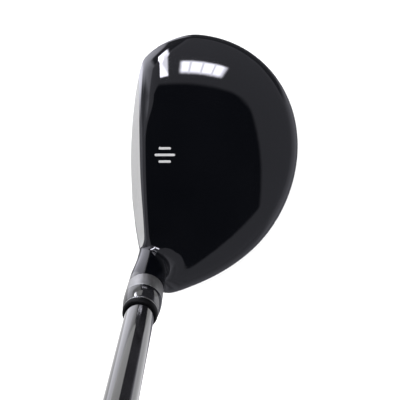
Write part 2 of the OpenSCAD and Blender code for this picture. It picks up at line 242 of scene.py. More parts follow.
def crown_z(x, y):
    """Height of the crown over a place on the ground."""
    start = np.stack([x, y, np.full_like(x, WATERLINE)], axis=-1)
    return hit(start, np.broadcast_to([0.0, 0.0, 1.0], start.shape))[..., 2]


# ---- the surface's grid: a row is a plane across the head, a column is a ray in it.
# A row's place runs from 0 to 1 along Y from the toe, to 2 in a fan round the heel, to 3 up the hosel.

TOE_X = 6
BODY_X = 1
TIP_GAP = 0.02
TOE_Y = float(hit(np.array([[TOE_X, 0.0, WATERLINE]]), np.array([[0.0, 1.0, 0.0]]))[0, 1]) - TIP_GAP
FAN_Y = -30.4
FAN_Z = 42.8
FAN_REACH = 16.35
FAN_TOP = 40
NECK_ANGLES = (math.radians(150), math.radians(215))


def row_y(r):
    return TOE_Y - (TOE_Y - FAN_Y) * (1 - math.cos(math.pi / 2 * r))


def row_at_y(y):
    return math.acos(1 - (TOE_Y - y) / (TOE_Y - FAN_Y)) * 2 / math.pi


def row_frame(r):
    """Centre of a row and the direction that is up in it."""
    if r < 1:
        y = row_y(r)
        return np.array([mix(TOE_X, BODY_X, ease(45, 20, y)), y, WATERLINE]), np.array([0, 0, 1.0])
    if r < 2:
        t = r - 1
        up = np.array([0, math.sin(LIE * t), math.cos(LIE * t)])
        reach = mix(FAN_Z - WATERLINE, FAN_REACH, ease(0.3, 1, t))
        return np.array([mix(BODY_X, FOOT[0], ease(0, 0.8, t)), FAN_Y, FAN_Z]) - reach * up, up
    s = mix(FAN_TOP, HOSEL_TOP, r - 2)
    return FOOT + s * AXIS, np.array([0, math.sin(LIE), math.cos(LIE)])


def face_low(y):
    """Height of the face plate's lower edge."""
    return FACE_FOOT + FACE_RISE * (y - FACE_MID_Y) ** 2


def face_high(y):
    """Height of the face plate's upper edge."""
    if y > ARCH_Y:
        fall = ((y - ARCH_Y) / ARCH_TO_TOE) ** 2
    else:
        fall = ((y - ARCH_Y) / -ARCH_TO_HEEL) ** 4
    arch = math.sqrt(max(0, 1 - fall))
    return max(face_low(y) + FACE_TIP, FACE_TOP * arch)


# Stations across one score line, and how deep each lies.
GROOVE_STEPS = np.array([0, 0.11, 0.22, 0.5, 0.78, 0.89, 1]) * GROOVE_WIDTH
GROOVE_FORM = np.array([0, 0.7, 1, 1, 1, 0.7, 0]) * GROOVE_DEPTH
LAND_STEPS = GROOVE_WIDTH + (GROOVE_PITCH - GROOVE_WIDTH) * np.array([0.1, 0.5, 0.9])


def scored_heights():
    """Heights of the face's columns over the score lines, and their depth."""
    heights, depths = [], []
    for k in range(GROOVES):
        foot = GROOVE_LOW + k * GROOVE_PITCH
        heights += list(foot + GROOVE_STEPS)
        depths += list(GROOVE_FORM)
        if k < GROOVES - 1:
            heights += list(foot + LAND_STEPS)
            depths += [0, 0, 0]
    return np.array(heights), np.array(depths)


SCORED, SCORE_DEPTH = scored_heights()
LOW_COLS = 7
HIGH_COLS = 18
FACE_COLS = LOW_COLS + len(SCORED) - 1 + HIGH_COLS
FACE_DEPTH = np.concatenate([np.zeros(LOW_COLS), SCORE_DEPTH, np.zeros(HIGH_COLS)])


def face_levels(y):
    """Heights of the face's columns from its lower to its upper edge."""
    plain = np.linspace(face_low(y), face_high(y), FACE_COLS + 1)
    low = np.linspace(face_low(y), GROOVE_LOW, LOW_COLS, endpoint=False)
    high = np.linspace(SCORED[-1], face_high(y), HIGH_COLS + 1)[1:]
    scored = np.concatenate([low, SCORED, high])
    return mix(plain, scored, ease(GROOVE_HALF + 8, GROOVE_HALF + 2, abs(y - GROOVE_MID_Y)))


def stations(low, high, count, breaks, lip):
    """Even stations, with a narrow gap and the lips of its two sides at each break."""
    even = np.linspace(low, high, count + 1)
    for b in breaks:
        even = even[np.abs(even - b) > 2.5 * lip]
        even = np.concatenate([even, b + lip * np.array([-1.6, -0.5, 0.5, 1.6])])
    return np.sort(even)


# The sole plate's outline, as shares of the way under the sole and as heel-to-toe places.
PLATE_FRONT = 0.15
PLATE_BACK = 0.80
PLATE_TOE = 22
PLATE_HEEL = -20
SEAM = 0.22
SOLE_WIDTH = 62
ROWS_LENGTH = 125
SEAM_SHARE = SEAM / SOLE_WIDTH

# Where the pieces part: the same row places at which the CAD's coarser grid parts them.
CROWN_FIRST = 3 / 38
FACE_LAST = 1 + 2 / 14
FACE_TOE = 35

CROWN_COLS = 76
SOLE_COLS = 70
HEAD_ROWS = 150
FAN_ROWS = 46
HOSEL_ROWS = 13

crown_shares = np.linspace(0, 1, CROWN_COLS, endpoint=False)
sole_shares = stations(0, 1, SOLE_COLS, [PLATE_FRONT, PLATE_BACK], SEAM_SHARE)
row_breaks = [row_at_y(PLATE_TOE), row_at_y(PLATE_HEEL)]
row_places = np.concatenate([
    stations(0, 1, HEAD_ROWS, row_breaks, SEAM / ROWS_LENGTH)[:-1],
    np.linspace(1, 2, FAN_ROWS, endpoint=False),
    np.linspace(2, 3, HOSEL_ROWS),
])
row_places = np.sort(np.append(row_places, [row_at_y(FACE_TOE), CROWN_FIRST, FACE_LAST]))
ROWS = len(row_places)
COLS = CROWN_COLS + FACE_COLS + len(sole_shares) - 1
CROWN_END = CROWN_COLS
FACE_END = CROWN_END + FACE_COLS


def ray_angle(centre, x, z):
    a = np.arctan2(z - centre[2], x - centre[0])
    return np.where(a < 0, a + 2 * math.pi, a)


def row_angles(r):
    """Angles of a row's rays: rear seam at 0, over the crown, down the face, back under the sole."""
    centre, _ = row_frame(min(r, 1))
    y = centre[1]
    in_neck = min(max(r - 1, 0), 1)
    levels = face_levels(y)[::-1]
    face = ray_angle(centre, face_x(y, levels), levels)
    top = mix(face[0], NECK_ANGLES[0], in_neck)
    low = mix(face[-1], NECK_ANGLES[1], in_neck)
    if r >= 1:
        face = np.linspace(top, low, FACE_COLS + 1)
    return np.concatenate([
        mix(0, top, crown_shares),
        face[:-1],
        mix(low, 2 * math.pi, sole_shares[:-1]),
    ])


def surface():
    """Points of the head and unit vectors square to it, row by row."""
    frames = [row_frame(r) for r in row_places]
    centres = np.array([f[0] for f in frames])[:, None, :]
    ups = np.array([f[1] for f in frames])[:, None, :]
    angles = np.array([row_angles(r) for r in row_places])[..., None]
    ways = np.cos(angles) * np.array([1.0, 0, 0]) + np.sin(angles) * ups
    points = hit(np.broadcast_to(centres, ways.shape), ways)
    normals = outward(points)
    grounded = points[..., 2] <= 0
    points[..., 2] = np.maximum(points[..., 2], 0)
    normals[grounded] = (0, 0, -1)
    return points, normals


POINTS, NORMALS = surface()

# Middle of every patch, as row place, column share and Y.
patch_row = ((row_places[:-1] + row_places[1:]) / 2)[:, None] * np.ones(COLS)
patch_col = np.arange(COLS)[None, :] * np.ones((ROWS - 1, 1))
patch_y = (POINTS[:-1, :, 1] + POINTS[1:, :, 1]) / 2
share_mid = (sole_shares[:-1] + sole_shares[1:]) / 2
patch_share = np.concatenate([np.full(FACE_END, -1.0), share_mid])[None, :] * np.ones((ROWS - 1, 1))


def patches(name):
    """The patches that belong to a piece. The ones in the seam round the sole plate belong to none."""
    before_fan = patch_row < 1
    crown = before_fan & (patch_row > CROWN_FIRST) & (patch_col < CROWN_END)
    face = (patch_row > CROWN_FIRST) & (patch_row < FACE_LAST) & (patch_y < FACE_TOE)
    face &= (patch_col >= CROWN_END) & (patch_col < FACE_END)
    across = (patch_share > PLATE_FRONT - SEAM_SHARE / 2) & (patch_share < PLATE_BACK + SEAM_SHARE / 2)
    lengthwise = (patch_y > PLATE_HEEL - SEAM / 2) & (patch_y < PLATE_TOE + SEAM / 2)
    cut = before_fan & across & lengthwise
    plate = cut & (patch_share > PLATE_FRONT + SEAM_SHARE / 2) & (patch_share < PLATE_BACK - SEAM_SHARE / 2)
    plate &= (patch_y > PLATE_HEEL + SEAM / 2) & (patch_y < PLATE_TOE - SEAM / 2)
    return {"crown": crown, "face": face, "plate": plate, "body": ~(crown | face | cut)}[name]


# ---- meshes


def new_object(name, vertices, faces, corner_normals=None):
    """A mesh object from millimetre points, shown smooth."""
    mesh = bpy.data.meshes.new(name)
    mesh.from_pydata((np.asarray(vertices) * MM).tolist(), [], faces)
    mesh.shade_smooth()
    if corner_normals is not None:
        mesh.normals_split_custom_set(corner_normals.tolist())
    made = bpy.data.objects.new(name, mesh)
    bpy.context.scene.collection.objects.link(made)
    return made


TUBE_R = BORE_R + 0.4
TUBE_GAP = 0.08
TUBE_FOOT = HOSEL_TOP - BORE_DEPTH - 3


def under(points, normals, depth):
    """Points under the surface. They stay off the tube that the neck closes round."""
    q = points - depth * normals
    s = (q - FOOT) @ AXIS
    axis_points = FOOT + s[..., None] * AXIS
    off = np.linalg.norm(q - axis_points, axis=-1)
    scale = (TUBE_R + TUBE_GAP) / np.maximum(off, 0.001)
    pushed = axis_points + (q - axis_points) * scale[..., None]
    return np.where(((s > TUBE_FOOT) & (scale > 1))[..., None], pushed, q)


def corner_points(own):
    """The grid points that touch both one of these patches and one that isn't."""
    padded = np.zeros((ROWS + 1, COLS), bool)
    padded[1:-1] = own
    before = np.roll(padded, 1, axis=1)
    touching = padded[:-1].astype(int) + padded[1:] + before[:-1] + before[1:]
    return (touching > 0) & (touching < 4)


def lipped(own, depth):
    """How deep each point lies so that the piece's edges are softened by the given depth."""
    return np.where(corner_points(own), depth, 0.0)


def grid_normals(points, like):
    """Unit vectors square to the grid itself, turned the same way as the given ones."""
    down = np.gradient(points, axis=0)
    across = np.roll(points, -1, axis=1) - np.roll(points, 1, axis=1)
    n = unit(np.cross(across, down))
    return np.where(np.sum(n * like, axis=-1, keepdims=True) < 0, -n, n)


def round_hole(middle, out, radius):
    """The patches in a round hole, and the grid's points with the rim of the hole made round."""
    offset = POINTS - middle
    offset = offset - (offset @ out)[..., None] * out
    in_patch = (offset[:-1] + offset[1:]) / 2
    in_patch = (in_patch + np.roll(in_patch, -1, axis=1)) / 2
    hole = (np.linalg.norm(in_patch, axis=-1) < radius) & (patch_share > 0)
    off = np.maximum(np.linalg.norm(offset, axis=-1, keepdims=True), 0.001)
    moved = POINTS + offset * (radius / off - 1)
    moved -= head_distance(moved)[..., None] * NORMALS
    return hole, np.where(corner_points(hole)[..., None], moved, POINTS)


def shell(name, own, wall, sunk=None, base=POINTS):
    """A closed shell of one piece. sunk is how far each of its outer points is pressed in."""
    points, normals = base, NORMALS
    if sunk is not None:
        points = base - sunk[..., None] * NORMALS
        moved = sunk > 0
        beside = moved | np.roll(moved, 1, 1) | np.roll(moved, -1, 1)
        beside[1:] |= moved[:-1]
        beside[:-1] |= moved[1:]
        normals = np.where(beside[..., None], grid_normals(points, NORMALS), NORMALS)
    inner = under(base, NORMALS, wall)
    count = ROWS * COLS
    vertices = np.concatenate([points.reshape(-1, 3), inner.reshape(-1, 3)])
    i, j = np.nonzero(own)
    k = (j + 1) % COLS
    a, b, c, d = i * COLS + j, i * COLS + k, (i + 1) * COLS + k, (i + 1) * COLS + j
    padded = np.zeros((ROWS + 1, COLS), bool)
    padded[1:-1] = own
    outer = np.stack([a, b, c, d], axis=1)
    walls = []
    for start, end, open_side in (
        (b, a, ~padded[i, j]),
        (d, c, ~padded[i + 2, j]),
        (a, d, ~own[i, (j - 1) % COLS]),
        (c, b, ~own[i, k]),
    ):
        s, e = start[open_side], end[open_side]
        walls.append(np.stack([s, e, e + count, s + count], axis=1))
    quads = np.concatenate([outer, outer[:, ::-1] + count] + walls)
    faces = quads.tolist()
    extra = []
    if own[0, 0]:
        tips = [points[0].mean(0), inner[0].mean(0)]
        vertices = np.concatenate([vertices, tips])
        for n in range(COLS):
            m = (n + 1) % COLS
            extra.append([m, n, 2 * count])
            extra.append([n + count, m + count, 2 * count + 1])
    corner = np.zeros((len(quads), 4, 3))
    sides = vertices[quads]
    corner[:] = unit(np.cross(sides[:, 2] - sides[:, 0], sides[:, 3] - sides[:, 1]))[:, None, :]
    corner[: len(outer)] = normals.reshape(-1, 3)[outer]
    corner = corner.reshape(-1, 3)
    if extra:
        turned = np.tile([[0.0, 1.0, 0.0]] * 3 + [[0.0, -1.0, 0.0]] * 3, (COLS, 1))
        corner = np.concatenate([corner, turned])
    faces += extra
    used = np.zeros(len(vertices), bool)
    for group in (quads, np.array(extra, int)):
        used[group.ravel()] = True
    renumber = np.cumsum(used) - 1
    faces = [[int(renumber[v]) for v in f] for f in faces]
    return new_object(name, vertices[used], faces, corner)


def loft(name, rings, closed=False, place=None, sharp=40):
    """A closed solid through rings of points. An open row of rings is capped at its ends."""
    rings = np.asarray(rings, float)
    count, around = rings.shape[:2]
    faces = []
    for i in range(count if closed else count - 1):
        n = (i + 1) % count
        for j in range(around):
            k = (j + 1) % around
            faces.append([i * around + j, i * around + k, n * around + k, n * around + j])
    if not closed:
        faces.append(list(range(around))[::-1])
        faces.append([(count - 1) * around + j for j in range(around)])
    made = new_object(name, rings.reshape(-1, 3), faces)
    made.data.set_sharp_from_angle(angle=math.radians(sharp))
    if place is not None:
        made.data.transform(place)
    return made


AROUND = 144


def turn_rings(profile, around=AROUND, radius_at=None):
    """Rings about the Z axis through a profile of [radius, height] points."""
    profile = np.asarray(profile, float)
    angles = np.linspace(0, 2 * math.pi, around, endpoint=False)
    radii = profile[:, :1] * np.ones(around)
    if radius_at is not None:
        radii = radius_at(radii, angles[None, :], profile[:, 1:2])
    heights = profile[:, 1:2] * np.ones(around)
    return np.stack([radii * np.cos(angles), radii * np.sin(angles), heights], axis=-1)


def soft_corners(profile, radius, steps=4):
    """The closed profile with each corner rounded."""
    profile = np.asarray(profile, float)
    out = []
    for before, at, after in zip(np.roll(profile, 1, 0), profile, np.roll(profile, -1, 0)):
        size = min(radius, np.linalg.norm(before - at) * 0.45, np.linalg.norm(after - at) * 0.45)
        start = at + unit(before - at) * size
        end = at + unit(after - at) * size
        for t in np.linspace(0, 1, steps + 1):
            out.append((1 - t) ** 2 * start + 2 * t * (1 - t) * at + t * t * end)
    return np.array(out)


def turned(name, profile, radius=0.12):
    """A ring turned about the shaft line, from an anticlockwise profile."""
    return loft(name, turn_rings(soft_corners(profile, radius))[:, ::-1], True, SHAFT_FRAME)


def weight_frame():
    """Frame on the sole whose +Z looks out of it, at the sole weight."""
    low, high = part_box("weight_seat")
    middle = (low + high) / 2 / MM
    start = np.array([[middle.x, middle.y, WATERLINE]])
    foot = hit(start, np.array([[0.0, 0.0, -1.0]]))[0]
    out = outward(foot)
    turn = Vector(out).to_track_quat("Z", "X").to_matrix().to_4x4()
    return Matrix.Translation(Vector(foot * MM)) @ turn


# ---- materials


class Tree:
    """Helpers that both materials and the surroundings build their nodes with."""

    def node(self, kind, **settings):
        made = self.tree.nodes.new(kind)
        for key, value in settings.items():
            setattr(made, key, value)
        return made

    def link(self, out, into):
        self.tree.links.new(out, into)

    def calc(self, operation, first, second=0.5):
        made = self.node("ShaderNodeMath", operation=operation)
        for socket, value in zip(made.inputs, (first, second)):
            if isinstance(value, (int, float)):
                socket.default_value = value
            else:
                self.link(value, socket)
        return made.outputs[0]


class Shader(Tree):
    """A Principled material with a few helpers for its node tree."""

    def __init__(self, name, place=None, **sockets):
        self.material = bpy.data.materials.new(name)
        self.material.use_nodes = True
        self.tree = self.material.node_tree
        self.surface = self.tree.nodes["Principled BSDF"]
        for key, value in sockets.items():
            self.surface.inputs[key.replace("_", " ")].default_value = value
        self.coords = self.node("ShaderNodeTexCoord").outputs["Object"]
        if place is not None:
            local = self.node("ShaderNodeMapping", vector_type="TEXTURE")
            local.inputs["Location"].default_value = place.to_translation()
            local.inputs["Rotation"].default_value = place.to_euler()
            self.link(self.coords, local.inputs["Vector"])
            self.coords = local.outputs[0]

    def stretched(self, x=1.0, y=1.0, z=1.0):
        """Object coordinates, scaled along each axis."""
        mapping = self.node("ShaderNodeMapping")
        mapping.inputs["Scale"].default_value = (x, y, z)
        self.link(self.coords, mapping.inputs["Vector"])
        return mapping.outputs[0]

    def noise(self, scale, detail=2.0, vector=None, roughness=0.5):
        made = self.node("ShaderNodeTexNoise")
        made.inputs["Scale"].default_value = scale
        made.inputs["Detail"].default_value = detail
        made.inputs["Roughness"].default_value = roughness
        self.link(vector or self.coords, made.inputs["Vector"])
        return made.outputs["Fac"]

    def spread(self, fac, low, high, start=0.3, end=0.7):
        """A factor stretched to run from low to high."""
        made = self.node("ShaderNodeMapRange")
        for key, value in (("From Min", start), ("From Max", end), ("To Min", low), ("To Max", high)):
            made.inputs[key].default_value = value
        self.link(fac, made.inputs["Value"])
        return made.outputs[0]

    def roughness(self, fac, low, high):
        self.link(self.spread(fac, low, high), self.surface.inputs["Roughness"])

    def colour(self, fac, dark, light):
        made = self.node("ShaderNodeMix", data_type="RGBA")
        made.inputs["A"].default_value = (*dark, 1)
        made.inputs["B"].default_value = (*light, 1)
        self.link(self.spread(fac, 0, 1), made.inputs["Factor"])
        self.link(made.outputs["Result"], self.surface.inputs["Base Color"])

    def bump(self, height, distance, strength=1.0):
        """Bumps of a height in millimetres."""
        made = self.node("ShaderNodeBump")
        made.inputs["Strength"].default_value = strength
        made.inputs["Distance"].default_value = distance * MM
        self.link(height, made.inputs["Height"])
        self.link(made.outputs[0], self.surface.inputs["Normal"])


def gloss_black_paint():
    """Deep black lacquer, very slightly wavy, with faint wiping marks."""
    m = Shader("gloss_black_paint", Roughness=0.04, IOR=1.5)
    m.colour(m.noise(30), (0.0008, 0.001, 0.0016), (0.0014, 0.0016, 0.0024))
    m.roughness(m.noise(60, 4), 0.025, 0.05)
    m.bump(m.noise(260, 1), 0.004)
    return m.material


def satin_steel():
    """Fine blasted steel of the hitting face."""
    m = Shader("satin_steel", Metallic=0.4, Roughness=0.5, Specular_IOR_Level=0.3)
    m.colour(m.noise(900, 3), (0.455, 0.455, 0.455), (0.485, 0.485, 0.485))
    m.roughness(m.noise(2500, 3), 0.46, 0.56)
    m.bump(m.noise(5200, 3), 0.02, 0.5)
    return m.material


def brushed(name, dark, light, scale, rough=(0.22, 0.36), depth=0.006, metallic=1.0):
    """Metal brushed along the axis on which the scale is small."""
    m = Shader(name, Metallic=metallic, Roughness=0.3)
    lines = m.noise(1.0, 4, m.stretched(*scale), 0.7)
    m.colour(lines, dark, light)
    m.roughness(lines, *rough)
    m.bump(lines, depth)
    return m.material


def turned_metal(name, place, dark, light, pitch, rough=(0.2, 0.32), depth=0.004):
    """Metal with the fine rings that a lathe leaves about Z."""
    m = Shader(name, place, Metallic=1.0, Roughness=0.3)
    rings = m.noise(1.0, 3, m.stretched(120, 120, 1000 / pitch), 0.6)
    m.colour(rings, dark, light)
    m.roughness(rings, *rough)
    m.bump(rings, depth)
    return m.material


def gloss_plastic(name, dark, light):
    m = Shader(name, Roughness=0.06, IOR=1.7)
    m.colour(m.noise(200, 3), dark, light)
    m.roughness(m.noise(300, 3), 0.045, 0.09)
    m.bump(m.noise(400, 2), 0.002)
    return m.material


def matt_plastic(name, dark, light):
    m = Shader(name, Roughness=0.45, IOR=1.45, Specular_IOR_Level=0.06)
    m.colour(m.noise(200, 3), dark, light)
    m.roughness(m.noise(500, 3), 0.4, 0.52)
    m.bump(m.noise(900, 3), 0.004)
    return m.material


def shaft_lacquer():
    """Clear-coated black carbon tube, with the faint bands of its wrapped tape."""
    m = Shader("shaft_lacquer", SHAFT_FRAME, Roughness=0.09, IOR=1.6, Coat_Weight=1.0, Coat_Roughness=0.06)
    split = m.node("ShaderNodeSeparateXYZ")
    m.link(m.coords, split.inputs[0])
    turn = m.calc("ARCTAN2", split.outputs["Y"], split.outputs["X"])
    climb = m.calc("MULTIPLY", split.outputs["Z"], 420.0)
    bands = m.calc("SINE", m.calc("ADD", turn, climb))
    soft = m.calc("MULTIPLY", m.calc("ADD", bands, 1.0), 0.5)
    m.colour(soft, (0.0016, 0.0016, 0.002), (0.0028, 0.0028, 0.0034))
    m.bump(m.noise(500, 3, m.stretched(1, 1, 0.15)), 0.003)
    return m.material


def rubber():
    m = Shader("grip_rubber", Roughness=0.6, IOR=1.5, Specular_IOR_Level=0.4)
    m.colour(m.noise(140, 5), (0.012, 0.012, 0.013), (0.024, 0.024, 0.025))
    m.roughness(m.noise(700, 3), 0.5, 0.68)
    m.bump(m.noise(3000, 3), 0.008, 0.5)
    return m.material


def plain_solid(name, dark, light, rough):
    """Adhesive, paper tape and wood, which lie inside the club."""
    m = Shader(name, Roughness=rough)
    m.colour(m.noise(900, 4), dark, light)
    m.bump(m.noise(1500, 3), 0.03, 0.4)
    return m.material


PAINT = gloss_black_paint()
STEEL = satin_steel()
SOLE_STEEL = brushed("sole_steel", (0.24, 0.24, 0.25), (0.40, 0.40, 0.41), (160, 9000, 160))
WEIGHT_STEEL = brushed("weight_steel", (0.20, 0.19, 0.18), (0.34, 0.33, 0.31), (700, 700, 700))
INLAY_BRUSH = (300, 9000, 300)
INLAY = brushed("silver_inlay", (0.44, 0.44, 0.45), (0.56, 0.56, 0.57), INLAY_BRUSH, metallic=0.4)
RING_DARK, RING_LIGHT = (0.21, 0.21, 0.21), (0.29, 0.29, 0.29)
RING_METAL = turned_metal("ferrule_silver", SHAFT_FRAME, RING_DARK, RING_LIGHT, 0.12, (0.38, 0.5))
SCREW_METAL = turned_metal("screw_metal", weight_frame(), (0.42, 0.42, 0.43), (0.60, 0.60, 0.61), 0.2)
FERRULE_BLACK = gloss_plastic("ferrule_black", (0.0025, 0.0025, 0.003), (0.004, 0.004, 0.005))
FERRULE_MATT = matt_plastic("ferrule_matt", (0.0014, 0.0014, 0.0018), (0.0024, 0.0024, 0.003))
SHAFT_BLACK = shaft_lacquer()
RUBBER = rubber()
GLUE = plain_solid("adhesive", (0.52, 0.42, 0.22), (0.66, 0.56, 0.34), 0.35)
PAPER = plain_solid("tape_paper", (0.62, 0.60, 0.53), (0.74, 0.72, 0.65), 0.8)
WOOD = plain_solid("plug_wood", (0.50, 0.35, 0.18), (0.66, 0.49, 0.29), 0.7)


def finish_piece(piece, material, slot, *nodes):
    """Gives a piece its material and its place in the model."""
    piece.data.materials.append(material)
    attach(piece, "root")
    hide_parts(*nodes)


# ---- pieces of the head


def make_body():
    own = patches("body")
    body = shell("sole_body_painted", own, BODY_WALL)
    finish_piece(body, PAINT, "gloss_black_paint", "sole_body")


def make_crown():
    crown = shell("crown_painted", patches("crown"), CROWN_WALL)
    finish_piece(crown, PAINT, "gloss_black_paint", "crown_shell")


def make_face():
    y = POINTS[..., 1]
    depth = np.zeros((ROWS, COLS))
    depth[:, CROWN_END:FACE_END] = FACE_DEPTH[:0:-1]
    depth *= ease(GROOVE_HALF + 0.5, GROOVE_HALF - 0.5, np.abs(y - GROOVE_MID_Y))
    face = shell("face_scored", patches("face"), FACE_WALL, depth)
    finish_piece(face, STEEL, "satin_steel", "face_plate")


def make_plate():
    """The plate let into the sole, with a round hole for the weight."""
    at = weight_frame()
    out = np.array(at.to_3x3().col[2])
    hole, base = round_hole(np.array(at.to_translation()) / MM, out, WEIGHT_R + WEIGHT_GAP)
    own = patches("plate") & ~hole
    plate = shell("sole_plate_brushed", own, BODY_WALL, lipped(own, 0.12), base)
    finish_piece(plate, SOLE_STEEL, "sole_steel", "sole_plate")


def make_mark():
    """Alignment aid: one long inlaid line square to the face between two short ones."""
    low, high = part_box("crown_mark")
    middle = (np.array(low) + np.array(high)) / 2 / MM
    length = (high.x - low.x) / MM
    width = 0.9
    gap = ((high.y - low.y) / MM - width) / 2
    tall, edge, root = 0.16, 0.1, -0.35
    for k in (-1, 0, 1):
        half = (length if k == 0 else length * 0.6) / 2
        t = half * np.sin(np.linspace(-math.pi / 2, math.pi / 2, 61))
        past = np.maximum(np.abs(t) - (half - width / 2), 0)
        wide = np.sqrt(np.maximum((width / 2) ** 2 - past**2, 0.02**2))
        right = [(1, root, 0), (1, tall - edge, 0), (1, tall, edge)]
        sides = [(-1, root, 0)] + right + [(-1, tall, edge), (-1, tall - edge, 0)]
        rings = []
        for side, rise, inset in sides:
            x = middle[0] + t
            y = middle[1] + k * gap + side * np.maximum(wide - inset, 0.01)
            z = crown_z(x, y)
            on = np.stack([x, y, z], axis=-1)
            rings.append(on + rise * outward(on))
        bar = loft(f"crown_mark_{k + 2}", np.array(rings).transpose(1, 0, 2))
        finish_piece(bar, INLAY, "silver_inlay", "crown_mark")


make_body()
make_crown()
make_face()
make_plate()
make_mark()


# ---- ferrule, shaft and grip, turned about the shaft line

FERRULE_BORE = 4.72
WIDE_R = 6.5
TRIM_R = 5.9
CAP_R = 5.85
NECK_R = 4.85
TIP_R = 4.7
BUTT_R = 7.6
SHAFT_WALL = 1.3
TAPER_FROM = 200


def sleeve(name, sides, bore, radius):
    """A ring with a straight bore, from the profile of its outside."""
    return turned(name, [[bore, sides[0][1]]] + sides + [[bore, sides[-1][1]]], radius)


def make_ferrule():
    """The silver ring, the black collar, the thin silver ring and the rounded end, from the hosel up."""
    foot, top = span_on_line("ferrule_ring")
    ring = sleeve("ferrule_ring_silver", [[HOSEL_R, foot], [WIDE_R, top]], FERRULE_BORE, 0.06)
    finish_piece(ring, RING_METAL, "ferrule_silver", "ferrule_ring")
    foot, top = span_on_line("ferrule_collar")
    barrel = [[mix(WIDE_R, TRIM_R, t**2.5), mix(foot, top, t)] for t in np.linspace(0, 1, 17)]
    collar = sleeve("ferrule_collar_black", barrel, FERRULE_BORE, 0.1)
    finish_piece(collar, FERRULE_BLACK, "ferrule_black", "ferrule_collar")
    foot, top = span_on_line("ferrule_trim")
    trim = sleeve("ferrule_trim_silver", [[TRIM_R, foot], [TRIM_R, top]], FERRULE_BORE, 0.06)
    finish_piece(trim, RING_METAL, "ferrule_silver", "ferrule_trim")
    foot, top = span_on_line("ferrule_cap")
    bore = NECK_R + 0.02
    lip_r = bore + 0.1
    bend = np.radians(np.arange(0, 91, 6))
    r = lip_r + (CAP_R - lip_r) * np.cos(bend)
    z = mix(foot, top, 0.3 + 0.7 * np.sin(bend))
    dome = np.stack([r, z], axis=1).tolist()
    cap = sleeve("ferrule_cap_black", [[CAP_R, foot]] + dome, bore, 0.05)
    finish_piece(cap, FERRULE_MATT, "ferrule_black", "ferrule_cap")


def make_shaft():
    foot, top = span_on_line("shaft_tube")
    step_at, _ = span_on_line("ferrule_cap")
    heights = [foot, step_at, step_at + 1, TAPER_FROM, top]
    radii = [TIP_R, TIP_R, NECK_R, NECK_R, BUTT_R]
    outside = [[r, s] for r, s in zip(radii, heights)]
    inside = [[r - SHAFT_WALL, s] for r, s in outside[::-1]]
    shaft = turned("shaft_lacquered", outside + inside, 0.2)
    finish_piece(shaft, SHAFT_BLACK, "shaft_black", "shaft_tube")


make_ferrule()
make_shaft()


TREAD_START = 12
TREAD_PITCH = 5.2
TREAD_COUNT = 18
TREAD_DEPTH = 0.38
BAND_DEPTH = 0.3


def tread(radii, angles, heights, foot, top):
    """Moulded tread of the grip: short slanting grooves in staggered rows between plain bands."""
    rows = (heights - foot - TREAD_START) / TREAD_PITCH
    cell = np.floor(rows)
    around = angles / (2 * math.pi) * TREAD_COUNT + 0.5 * (cell % 2)
    u = around - np.floor(around) - 0.5
    v = rows - cell - 0.5
    slant = u - 0.45 * v * np.where(cell % 2 == 0, 1, -1)
    groove = ease(0.24, 0.08, np.abs(slant)) * ease(0.42, 0.3, np.abs(v))
    zone = ease(TREAD_START, TREAD_START + 2, heights - foot) * ease(9, 11, top - heights)
    band = ease(1.1, 0.5, np.abs(heights - foot - 8)) + ease(1.1, 0.5, np.abs(heights - top + 5))
    return radii - TREAD_DEPTH * groove * zone - BAND_DEPTH * band


def make_grip():
    foot, top = span_on_line("grip_sleeve")
    cap_foot, cap_top = span_on_line("grip_cap")
    mouth_r = 9.2
    cap_r = 13.2
    gap = 0.32
    length = cap_top - foot
    heights = np.linspace(foot + 1.2, top, 520)
    radii = mix(mouth_r, cap_r, ((heights - foot) / length) ** 1.15)
    shaft_at_foot = mix(NECK_R, BUTT_R, (foot - TAPER_FROM) / (top - TAPER_FROM))
    lip = [[shaft_at_foot + gap, foot], [mouth_r - 0.9, foot]]
    lip += [[mouth_r - 0.35, foot + 0.25], [mouth_r - 0.08, foot + 0.7]]
    profile = lip + [[r, s] for r, s in zip(radii, heights)] + [[BUTT_R + gap, top]]

    def radius_at(r, a, s):
        outside = np.zeros(len(profile), bool)
        outside[len(lip):-1] = True
        return np.where(outside[:, None], tread(r, a, s, foot, top), r)

    rings = turn_rings(profile, 12 * TREAD_COUNT, radius_at)[:, ::-1]
    grip = loft("grip_sleeve_treaded", rings, True, SHAFT_FRAME)
    finish_piece(grip, RUBBER, "grip_rubber", "grip_sleeve")
    rim = 1.8
    r = float(radii[-1])
    bend = np.radians(np.arange(0, 91, 9))
    dome = [[r - rim + rim * math.cos(a), cap_top - rim + rim * math.sin(a)] for a in bend]
    dish_depth = 0.35
    dish = [[r * 0.62, cap_top], [r * 0.58, cap_top - dish_depth]]
    dish += [[VENT_R + 1.6, cap_top - dish_depth], [VENT_R + 1.2, cap_top]]
    outline_of_cap = [[VENT_R, cap_foot], [r, cap_foot]] + dome + dish + [[VENT_R, cap_top]]
    cap = turned("grip_cap_moulded", outline_of_cap, 0.15)
    finish_piece(cap, RUBBER, "grip_rubber", "grip_cap")


make_grip()


